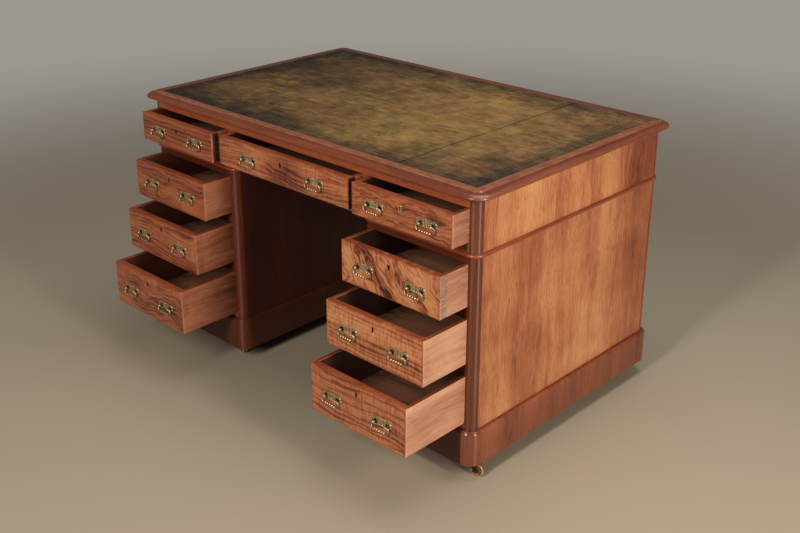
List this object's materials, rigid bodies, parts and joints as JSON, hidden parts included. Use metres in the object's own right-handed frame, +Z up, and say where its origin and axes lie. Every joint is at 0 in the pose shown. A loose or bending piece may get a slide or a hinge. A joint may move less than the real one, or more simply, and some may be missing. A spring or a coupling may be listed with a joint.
{
  "type": "partners desk",
  "caption": "Walnut pedestal partners desk with a leather-lined moulded top, frieze and pedestal drawers on brass bail handles, rear cupboard doors and castors under its plinths.",
  "frame": {"origin": "on the floor, under the middle of the carcass between the two pedestals", "axes": "+X along the desk to the right of someone facing the drawers, -Y out of the drawer fronts, +Z up"},
  "size_m": [1.319, 1.0419, 0.78],
  "materials": {
    "walnut_carcass": "french polished walnut",
    "walnut_drawer": "figured walnut fronts, plain sides",
    "antique_brass": "aged brass",
    "castor_wheel_wood": "dark turned hardwood",
    "desk_leather": "aged skiver with a tooled border"
  },
  "bodies": {
    "carcass": {"moulded_top": "walnut_carcass", "leather_lining": "desk_leather", "frieze_case": "walnut_carcass", "left_pedestal_case": "walnut_carcass", "right_pedestal_case": "walnut_carcass", "door_pivot_pins": "antique_brass"},
    "frieze_left_drawer": {"frieze_left_drawer": "walnut_drawer", "frieze_left_fittings": "antique_brass"},
    "frieze_left_left_bail": {"frieze_left_left_bail": "antique_brass"},
    "frieze_left_right_bail": {"frieze_left_right_bail": "antique_brass"},
    "frieze_centre_drawer": {"frieze_centre_drawer": "walnut_drawer", "frieze_centre_fittings": "antique_brass"},
    "frieze_centre_left_bail": {"frieze_centre_left_bail": "antique_brass"},
    "frieze_centre_right_bail": {"frieze_centre_right_bail": "antique_brass"},
    "frieze_right_drawer": {"frieze_right_drawer": "walnut_drawer", "frieze_right_fittings": "antique_brass"},
    "frieze_right_left_bail": {"frieze_right_left_bail": "antique_brass"},
    "frieze_right_right_bail": {"frieze_right_right_bail": "antique_brass"},
    "left_upper_drawer": {"left_upper_drawer": "walnut_drawer", "left_upper_fittings": "antique_brass"},
    "left_upper_left_bail": {"left_upper_left_bail": "antique_brass"},
    "left_upper_right_bail": {"left_upper_right_bail": "antique_brass"},
    "left_middle_drawer": {"left_middle_drawer": "walnut_drawer", "left_middle_fittings": "antique_brass"},
    "left_middle_left_bail": {"left_middle_left_bail": "antique_brass"},
    "left_middle_right_bail": {"left_middle_right_bail": "antique_brass"},
    "left_lower_drawer": {"left_lower_drawer": "walnut_drawer", "left_lower_fittings": "antique_brass"},
    "left_lower_left_bail": {"left_lower_left_bail": "antique_brass"},
    "left_lower_right_bail": {"left_lower_right_bail": "antique_brass"},
    "right_upper_drawer": {"right_upper_drawer": "walnut_drawer", "right_upper_fittings": "antique_brass"},
    "right_upper_left_bail": {"right_upper_left_bail": "antique_brass"},
    "right_upper_right_bail": {"right_upper_right_bail": "antique_brass"},
    "right_middle_drawer": {"right_middle_drawer": "walnut_drawer", "right_middle_fittings": "antique_brass"},
    "right_middle_left_bail": {"right_middle_left_bail": "antique_brass"},
    "right_middle_right_bail": {"right_middle_right_bail": "antique_brass"},
    "right_lower_drawer": {"right_lower_drawer": "walnut_drawer", "right_lower_fittings": "antique_brass"},
    "right_lower_left_bail": {"right_lower_left_bail": "antique_brass"},
    "right_lower_right_bail": {"right_lower_right_bail": "antique_brass"},
    "left_door": {"left_door": "walnut_carcass"},
    "right_door": {"right_door": "walnut_carcass"},
    "left_outer_front_castor_fork": {"left_outer_front_castor_fork": "antique_brass"},
    "left_outer_front_castor_wheel": {"left_outer_front_castor_wheel": "castor_wheel_wood"},
    "left_inner_front_castor_fork": {"left_inner_front_castor_fork": "antique_brass"},
    "left_inner_front_castor_wheel": {"left_inner_front_castor_wheel": "castor_wheel_wood"},
    "left_inner_rear_castor_fork": {"left_inner_rear_castor_fork": "antique_brass"},
    "left_inner_rear_castor_wheel": {"left_inner_rear_castor_wheel": "castor_wheel_wood"},
    "left_outer_rear_castor_fork": {"left_outer_rear_castor_fork": "antique_brass"},
    "left_outer_rear_castor_wheel": {"left_outer_rear_castor_wheel": "castor_wheel_wood"},
    "right_outer_front_castor_fork": {"right_outer_front_castor_fork": "antique_brass"},
    "right_outer_front_castor_wheel": {"right_outer_front_castor_wheel": "castor_wheel_wood"},
    "right_inner_front_castor_fork": {"right_inner_front_castor_fork": "antique_brass"},
    "right_inner_front_castor_wheel": {"right_inner_front_castor_wheel": "castor_wheel_wood"},
    "right_inner_rear_castor_fork": {"right_inner_rear_castor_fork": "antique_brass"},
    "right_inner_rear_castor_wheel": {"right_inner_rear_castor_wheel": "castor_wheel_wood"},
    "right_outer_rear_castor_fork": {"right_outer_rear_castor_fork": "antique_brass"},
    "right_outer_rear_castor_wheel": {"right_outer_rear_castor_wheel": "castor_wheel_wood"}
  },
  "joints": [
    {"name": "frieze_left_slide", "type": "slide", "parent": "carcass", "child": "frieze_left_drawer", "axis": [0, -1, 0], "range_m": [-0.06, 0.24]},
    {"name": "frieze_left_left_bail_swing", "type": "hinge", "parent": "frieze_left_drawer", "child": "frieze_left_left_bail", "pos_m": [-0.5318, -0.4626, 0.6893], "axis": [-1, 0, 0], "range_deg": [-10, 95]},
    {"name": "frieze_left_right_bail_swing", "type": "hinge", "parent": "frieze_left_drawer", "child": "frieze_left_right_bail", "pos_m": [-0.3577, -0.4626, 0.6893], "axis": [-1, 0, 0], "range_deg": [-10, 95]},
    {"name": "frieze_centre_slide", "type": "slide", "parent": "carcass", "child": "frieze_centre_drawer", "axis": [0, -1, 0], "range_m": [-0.05, 0.25]},
    {"name": "frieze_centre_left_bail_swing", "type": "hinge", "parent": "frieze_centre_drawer", "child": "frieze_centre_left_bail", "pos_m": [-0.1323, -0.4526, 0.6893], "axis": [-1, 0, 0], "range_deg": [-10, 95]},
    {"name": "frieze_centre_right_bail_swing", "type": "hinge", "parent": "frieze_centre_drawer", "child": "frieze_centre_right_bail", "pos_m": [0.1323, -0.4526, 0.6893], "axis": [-1, 0, 0], "range_deg": [-10, 95]},
    {"name": "frieze_right_slide", "type": "slide", "parent": "carcass", "child": "frieze_right_drawer", "axis": [0, -1, 0], "range_m": [-0.061, 0.239]},
    {"name": "frieze_right_left_bail_swing", "type": "hinge", "parent": "frieze_right_drawer", "child": "frieze_right_left_bail", "pos_m": [0.3577, -0.4636, 0.6893], "axis": [-1, 0, 0], "range_deg": [-10, 95]},
    {"name": "frieze_right_right_bail_swing", "type": "hinge", "parent": "frieze_right_drawer", "child": "frieze_right_right_bail", "pos_m": [0.5318, -0.4636, 0.6893], "axis": [-1, 0, 0], "range_deg": [-10, 95]},
    {"name": "left_upper_slide", "type": "slide", "parent": "carcass", "child": "left_upper_drawer", "axis": [0, -1, 0], "range_m": [-0.096, 0.204]},
    {"name": "left_upper_left_bail_swing", "type": "hinge", "parent": "left_upper_drawer", "child": "left_upper_left_bail", "pos_m": [-0.5318, -0.4986, 0.5358], "axis": [-1, 0, 0], "range_deg": [-10, 95]},
    {"name": "left_upper_right_bail_swing", "type": "hinge", "parent": "left_upper_drawer", "child": "left_upper_right_bail", "pos_m": [-0.3597, -0.4986, 0.5358], "axis": [-1, 0, 0], "range_deg": [-10, 95]},
    {"name": "left_middle_slide", "type": "slide", "parent": "carcass", "child": "left_middle_drawer", "axis": [0, -1, 0], "range_m": [-0.137, 0.163]},
    {"name": "left_middle_left_bail_swing", "type": "hinge", "parent": "left_middle_drawer", "child": "left_middle_left_bail", "pos_m": [-0.5318, -0.5396, 0.3863], "axis": [-1, 0, 0], "range_deg": [-10, 95]},
    {"name": "left_middle_right_bail_swing", "type": "hinge", "parent": "left_middle_drawer", "child": "left_middle_right_bail", "pos_m": [-0.3597, -0.5396, 0.3863], "axis": [-1, 0, 0], "range_deg": [-10, 95]},
    {"name": "left_lower_slide", "type": "slide", "parent": "carcass", "child": "left_lower_drawer", "axis": [0, -1, 0], "range_m": [-0.199, 0.101]},
    {"name": "left_lower_left_bail_swing", "type": "hinge", "parent": "left_lower_drawer", "child": "left_lower_left_bail", "pos_m": [-0.5318, -0.6016, 0.2233], "axis": [-1, 0, 0], "range_deg": [-10, 95]},
    {"name": "left_lower_right_bail_swing", "type": "hinge", "parent": "left_lower_drawer", "child": "left_lower_right_bail", "pos_m": [-0.3597, -0.6016, 0.2233], "axis": [-1, 0, 0], "range_deg": [-10, 95]},
    {"name": "right_upper_slide", "type": "slide", "parent": "carcass", "child": "right_upper_drawer", "axis": [0, -1, 0], "range_m": [-0.1, 0.2]},
    {"name": "right_upper_left_bail_swing", "type": "hinge", "parent": "right_upper_drawer", "child": "right_upper_left_bail", "pos_m": [0.3597, -0.5026, 0.5358], "axis": [-1, 0, 0], "range_deg": [-10, 95]},
    {"name": "right_upper_right_bail_swing", "type": "hinge", "parent": "right_upper_drawer", "child": "right_upper_right_bail", "pos_m": [0.5318, -0.5026, 0.5358], "axis": [-1, 0, 0], "range_deg": [-10, 95]},
    {"name": "right_middle_slide", "type": "slide", "parent": "carcass", "child": "right_middle_drawer", "axis": [0, -1, 0], "range_m": [-0.156, 0.144]},
    {"name": "right_middle_left_bail_swing", "type": "hinge", "parent": "right_middle_drawer", "child": "right_middle_left_bail", "pos_m": [0.3597, -0.5586, 0.3863], "axis": [-1, 0, 0], "range_deg": [-10, 95]},
    {"name": "right_middle_right_bail_swing", "type": "hinge", "parent": "right_middle_drawer", "child": "right_middle_right_bail", "pos_m": [0.5318, -0.5586, 0.3863], "axis": [-1, 0, 0], "range_deg": [-10, 95]},
    {"name": "right_lower_slide", "type": "slide", "parent": "carcass", "child": "right_lower_drawer", "axis": [0, -1, 0], "range_m": [-0.214, 0.086]},
    {"name": "right_lower_left_bail_swing", "type": "hinge", "parent": "right_lower_drawer", "child": "right_lower_left_bail", "pos_m": [0.3597, -0.6166, 0.2233], "axis": [-1, 0, 0], "range_deg": [-10, 95]},
    {"name": "right_lower_right_bail_swing", "type": "hinge", "parent": "right_lower_drawer", "child": "right_lower_right_bail", "pos_m": [0.5318, -0.6166, 0.2233], "axis": [-1, 0, 0], "range_deg": [-10, 95]},
    {"name": "left_door_hinge", "type": "hinge", "parent": "carcass", "child": "left_door", "pos_m": [-0.5985, 0.3845, 0.377], "axis": [0, 0, 1], "range_deg": [0, 90]},
    {"name": "right_door_hinge", "type": "hinge", "parent": "carcass", "child": "right_door", "pos_m": [0.5985, 0.3845, 0.377], "axis": [0, 0, -1], "range_deg": [0, 90]},
    {"name": "left_outer_front_castor_swivel", "type": "hinge", "parent": "carcass", "child": "left_outer_front_castor_fork", "pos_m": [-0.6035, -0.3645, 0.045], "axis": [0, 0, 1], "continuous": true},
    {"name": "left_outer_front_castor_spin", "type": "hinge", "parent": "left_outer_front_castor_fork", "child": "left_outer_front_castor_wheel", "pos_m": [-0.62706, -0.37549, 0.018], "axis": [0.4226, -0.9063, 0], "continuous": true},
    {"name": "left_inner_front_castor_swivel", "type": "hinge", "parent": "carcass", "child": "left_inner_front_castor_fork", "pos_m": [-0.288, -0.3645, 0.045], "axis": [0, 0, 1], "continuous": true},
    {"name": "left_inner_front_castor_spin", "type": "hinge", "parent": "left_inner_front_castor_fork", "child": "left_inner_front_castor_wheel", "pos_m": [-0.31243, -0.35561, 0.018], "axis": [-0.342, -0.9397, 0], "continuous": true},
    {"name": "left_inner_rear_castor_swivel", "type": "hinge", "parent": "carcass", "child": "left_inner_rear_castor_fork", "pos_m": [-0.288, 0.3645, 0.045], "axis": [0, 0, 1], "continuous": true},
    {"name": "left_inner_rear_castor_spin", "type": "hinge", "parent": "left_inner_rear_castor_fork", "child": "left_inner_rear_castor_wheel", "pos_m": [-0.29689, 0.38893, 0.018], "axis": [-0.9397, -0.342, 0], "continuous": true},
    {"name": "left_outer_rear_castor_swivel", "type": "hinge", "parent": "carcass", "child": "left_outer_rear_castor_fork", "pos_m": [-0.6035, 0.3645, 0.045], "axis": [0, 0, 1], "continuous": true},
    {"name": "left_outer_rear_castor_spin", "type": "hinge", "parent": "left_outer_rear_castor_fork", "child": "left_outer_rear_castor_wheel", "pos_m": [-0.62793, 0.37339, 0.018], "axis": [-0.342, -0.9397, 0], "continuous": true},
    {"name": "right_outer_front_castor_swivel", "type": "hinge", "parent": "carcass", "child": "right_outer_front_castor_fork", "pos_m": [0.6035, -0.3645, 0.045], "axis": [0, 0, 1], "continuous": true},
    {"name": "right_outer_front_castor_spin", "type": "hinge", "parent": "right_outer_front_castor_fork", "child": "right_outer_front_castor_wheel", "pos_m": [0.62861, -0.35777, 0.018], "axis": [-0.2588, 0.9659, 0], "continuous": true},
    {"name": "right_inner_front_castor_swivel", "type": "hinge", "parent": "carcass", "child": "right_inner_front_castor_fork", "pos_m": [0.288, -0.3645, 0.045], "axis": [0, 0, 1], "continuous": true},
    {"name": "right_inner_front_castor_spin", "type": "hinge", "parent": "right_inner_front_castor_fork", "child": "right_inner_front_castor_wheel", "pos_m": [0.27309, -0.3858, 0.018], "axis": [0.8192, -0.5736, 0], "continuous": true},
    {"name": "right_inner_rear_castor_swivel", "type": "hinge", "parent": "carcass", "child": "right_inner_rear_castor_fork", "pos_m": [0.288, 0.3645, 0.045], "axis": [0, 0, 1], "continuous": true},
    {"name": "right_inner_rear_castor_spin", "type": "hinge", "parent": "right_inner_rear_castor_fork", "child": "right_inner_rear_castor_wheel", "pos_m": [0.29252, 0.3901, 0.018], "axis": [-0.9848, 0.1736, 0], "continuous": true},
    {"name": "right_outer_rear_castor_swivel", "type": "hinge", "parent": "carcass", "child": "right_outer_rear_castor_fork", "pos_m": [0.6035, 0.3645, 0.045], "axis": [0, 0, 1], "continuous": true},
    {"name": "right_outer_rear_castor_spin", "type": "hinge", "parent": "right_outer_rear_castor_fork", "child": "right_outer_rear_castor_wheel", "pos_m": [0.5779, 0.35998, 0.018], "axis": [0.1736, -0.9848, 0], "continuous": true}
  ]
}
